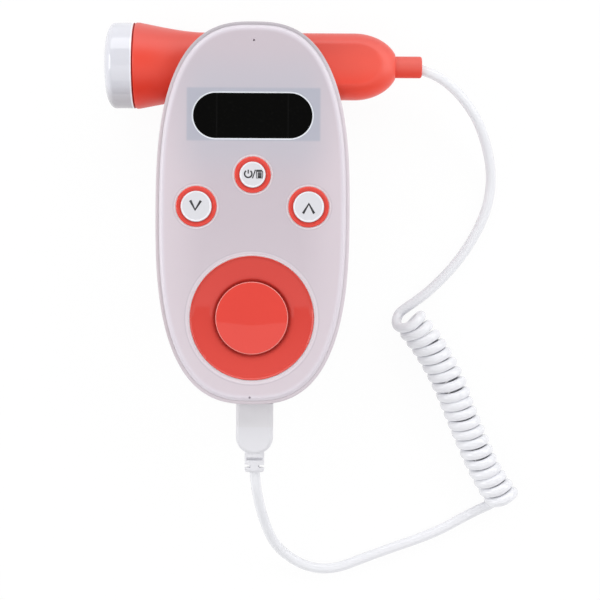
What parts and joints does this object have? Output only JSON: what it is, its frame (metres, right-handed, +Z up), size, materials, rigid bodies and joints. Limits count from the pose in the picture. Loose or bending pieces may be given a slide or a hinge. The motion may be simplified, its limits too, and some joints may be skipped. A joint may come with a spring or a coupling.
{
  "type": "fetal doppler monitor",
  "caption": "Egg-shaped handheld monitor with display window, ringed buttons and round speaker, a hand probe in a cradle behind its top, and a coiled cord to a plug.",
  "frame": {"origin": "centre of the box round the unit and its probe, on the surface they lie on", "axes": "+Z up out of the unit's face, +Y towards the unit's top end, +X along the probe from its sound head to its cord"},
  "size_m": [0.1589, 0.2117, 0.0375],
  "materials": {
    "shell_white": "satin white with a faint lilac tint",
    "cover_milky": "glossy milky cover",
    "window_black": "deep glossy black",
    "gasket_grey": "foam frame",
    "coral_gloss": "glossy coral",
    "coral_matte": "soft-touch coral",
    "cap_white": "glossy white",
    "head_white": "glossy white",
    "cord_white": "flexible white jacket",
    "plug_white": "moulded white",
    "rubber_grey": "soft grey",
    "board_green": "circuit board",
    "chip_black": "moulded black",
    "lcd_dark": "display glass",
    "steel": "plated steel",
    "frame_black": "speaker frame",
    "cone_paper": "speaker cone",
    "cell_jacket": "battery jacket",
    "crystal": "ceramic",
    "backing": "damping backing",
    "gold": "plated contacts"
  },
  "bodies": {
    "main_unit": {"front_shell": "shell_white", "front_panel": "cover_milky", "rear_casing": "shell_white", "rubber_feet": "rubber_grey", "case_screws": "steel", "cradle_pads": "rubber_grey", "battery_cells": "cell_jacket", "battery_contacts": "steel", "display_gasket": "gasket_grey", "display_window": "window_black", "lcd_module": "lcd_dark", "main_board": "board_green", "board_chips": "chip_black", "tact_switches": "chip_black", "power_button_collar": "coral_gloss", "down_button_collar": "coral_gloss", "up_button_collar": "coral_gloss", "speaker_dish": "coral_gloss", "speaker_disc": "coral_gloss", "speaker_gasket": "rubber_grey", "speaker_frame": "frame_black", "speaker_cone": "cone_paper", "speaker_magnet": "steel", "probe_socket": "steel", "socket_board": "board_green", "cord_coil": "cord_white"},
    "power_button": {"power_button_cap": "cap_white"},
    "down_button": {"down_button_cap": "cap_white"},
    "up_button": {"up_button_cap": "cap_white"},
    "probe": {"probe_upper_shell": "coral_matte", "probe_lower_shell": "coral_matte", "probe_head_cap": "head_white", "matching_layer": "crystal", "piezo_crystals": "crystal", "crystal_backing": "backing", "probe_board": "board_green", "probe_strain_relief": "coral_matte", "upper_lead": "cord_white"},
    "plug": {"lower_lead": "cord_white", "plug_body": "plug_white", "plug_boot": "plug_white", "plug_shell": "steel", "plug_contacts": "gold"},
    "battery_door": {"battery_door": "shell_white"}
  },
  "joints": [
    {"name": "power_press", "type": "slide", "parent": "main_unit", "child": "power_button", "axis": [0, 0, -1], "range_m": [0, 0.0008], "stiffness_N_per_m": 1200, "springref_m": -0.0004},
    {"name": "down_press", "type": "slide", "parent": "main_unit", "child": "down_button", "axis": [0, 0, -1], "range_m": [0, 0.0008], "stiffness_N_per_m": 1200, "springref_m": -0.0004},
    {"name": "up_press", "type": "slide", "parent": "main_unit", "child": "up_button", "axis": [0, 0, -1], "range_m": [0, 0.0008], "stiffness_N_per_m": 1200, "springref_m": -0.0004},
    {"name": "probe_lift_out", "type": "slide", "parent": "main_unit", "child": "probe", "axis": [0, 1, 0], "range_m": [0, 0.036]},
    {"name": "plug_pull", "type": "slide", "parent": "main_unit", "child": "plug", "axis": [0, -1, 0], "range_m": [0, 0.012]},
    {"name": "battery_door_slide", "type": "slide", "parent": "main_unit", "child": "battery_door", "axis": [0, -1, 0], "range_m": [0, 0.01]}
  ]
}
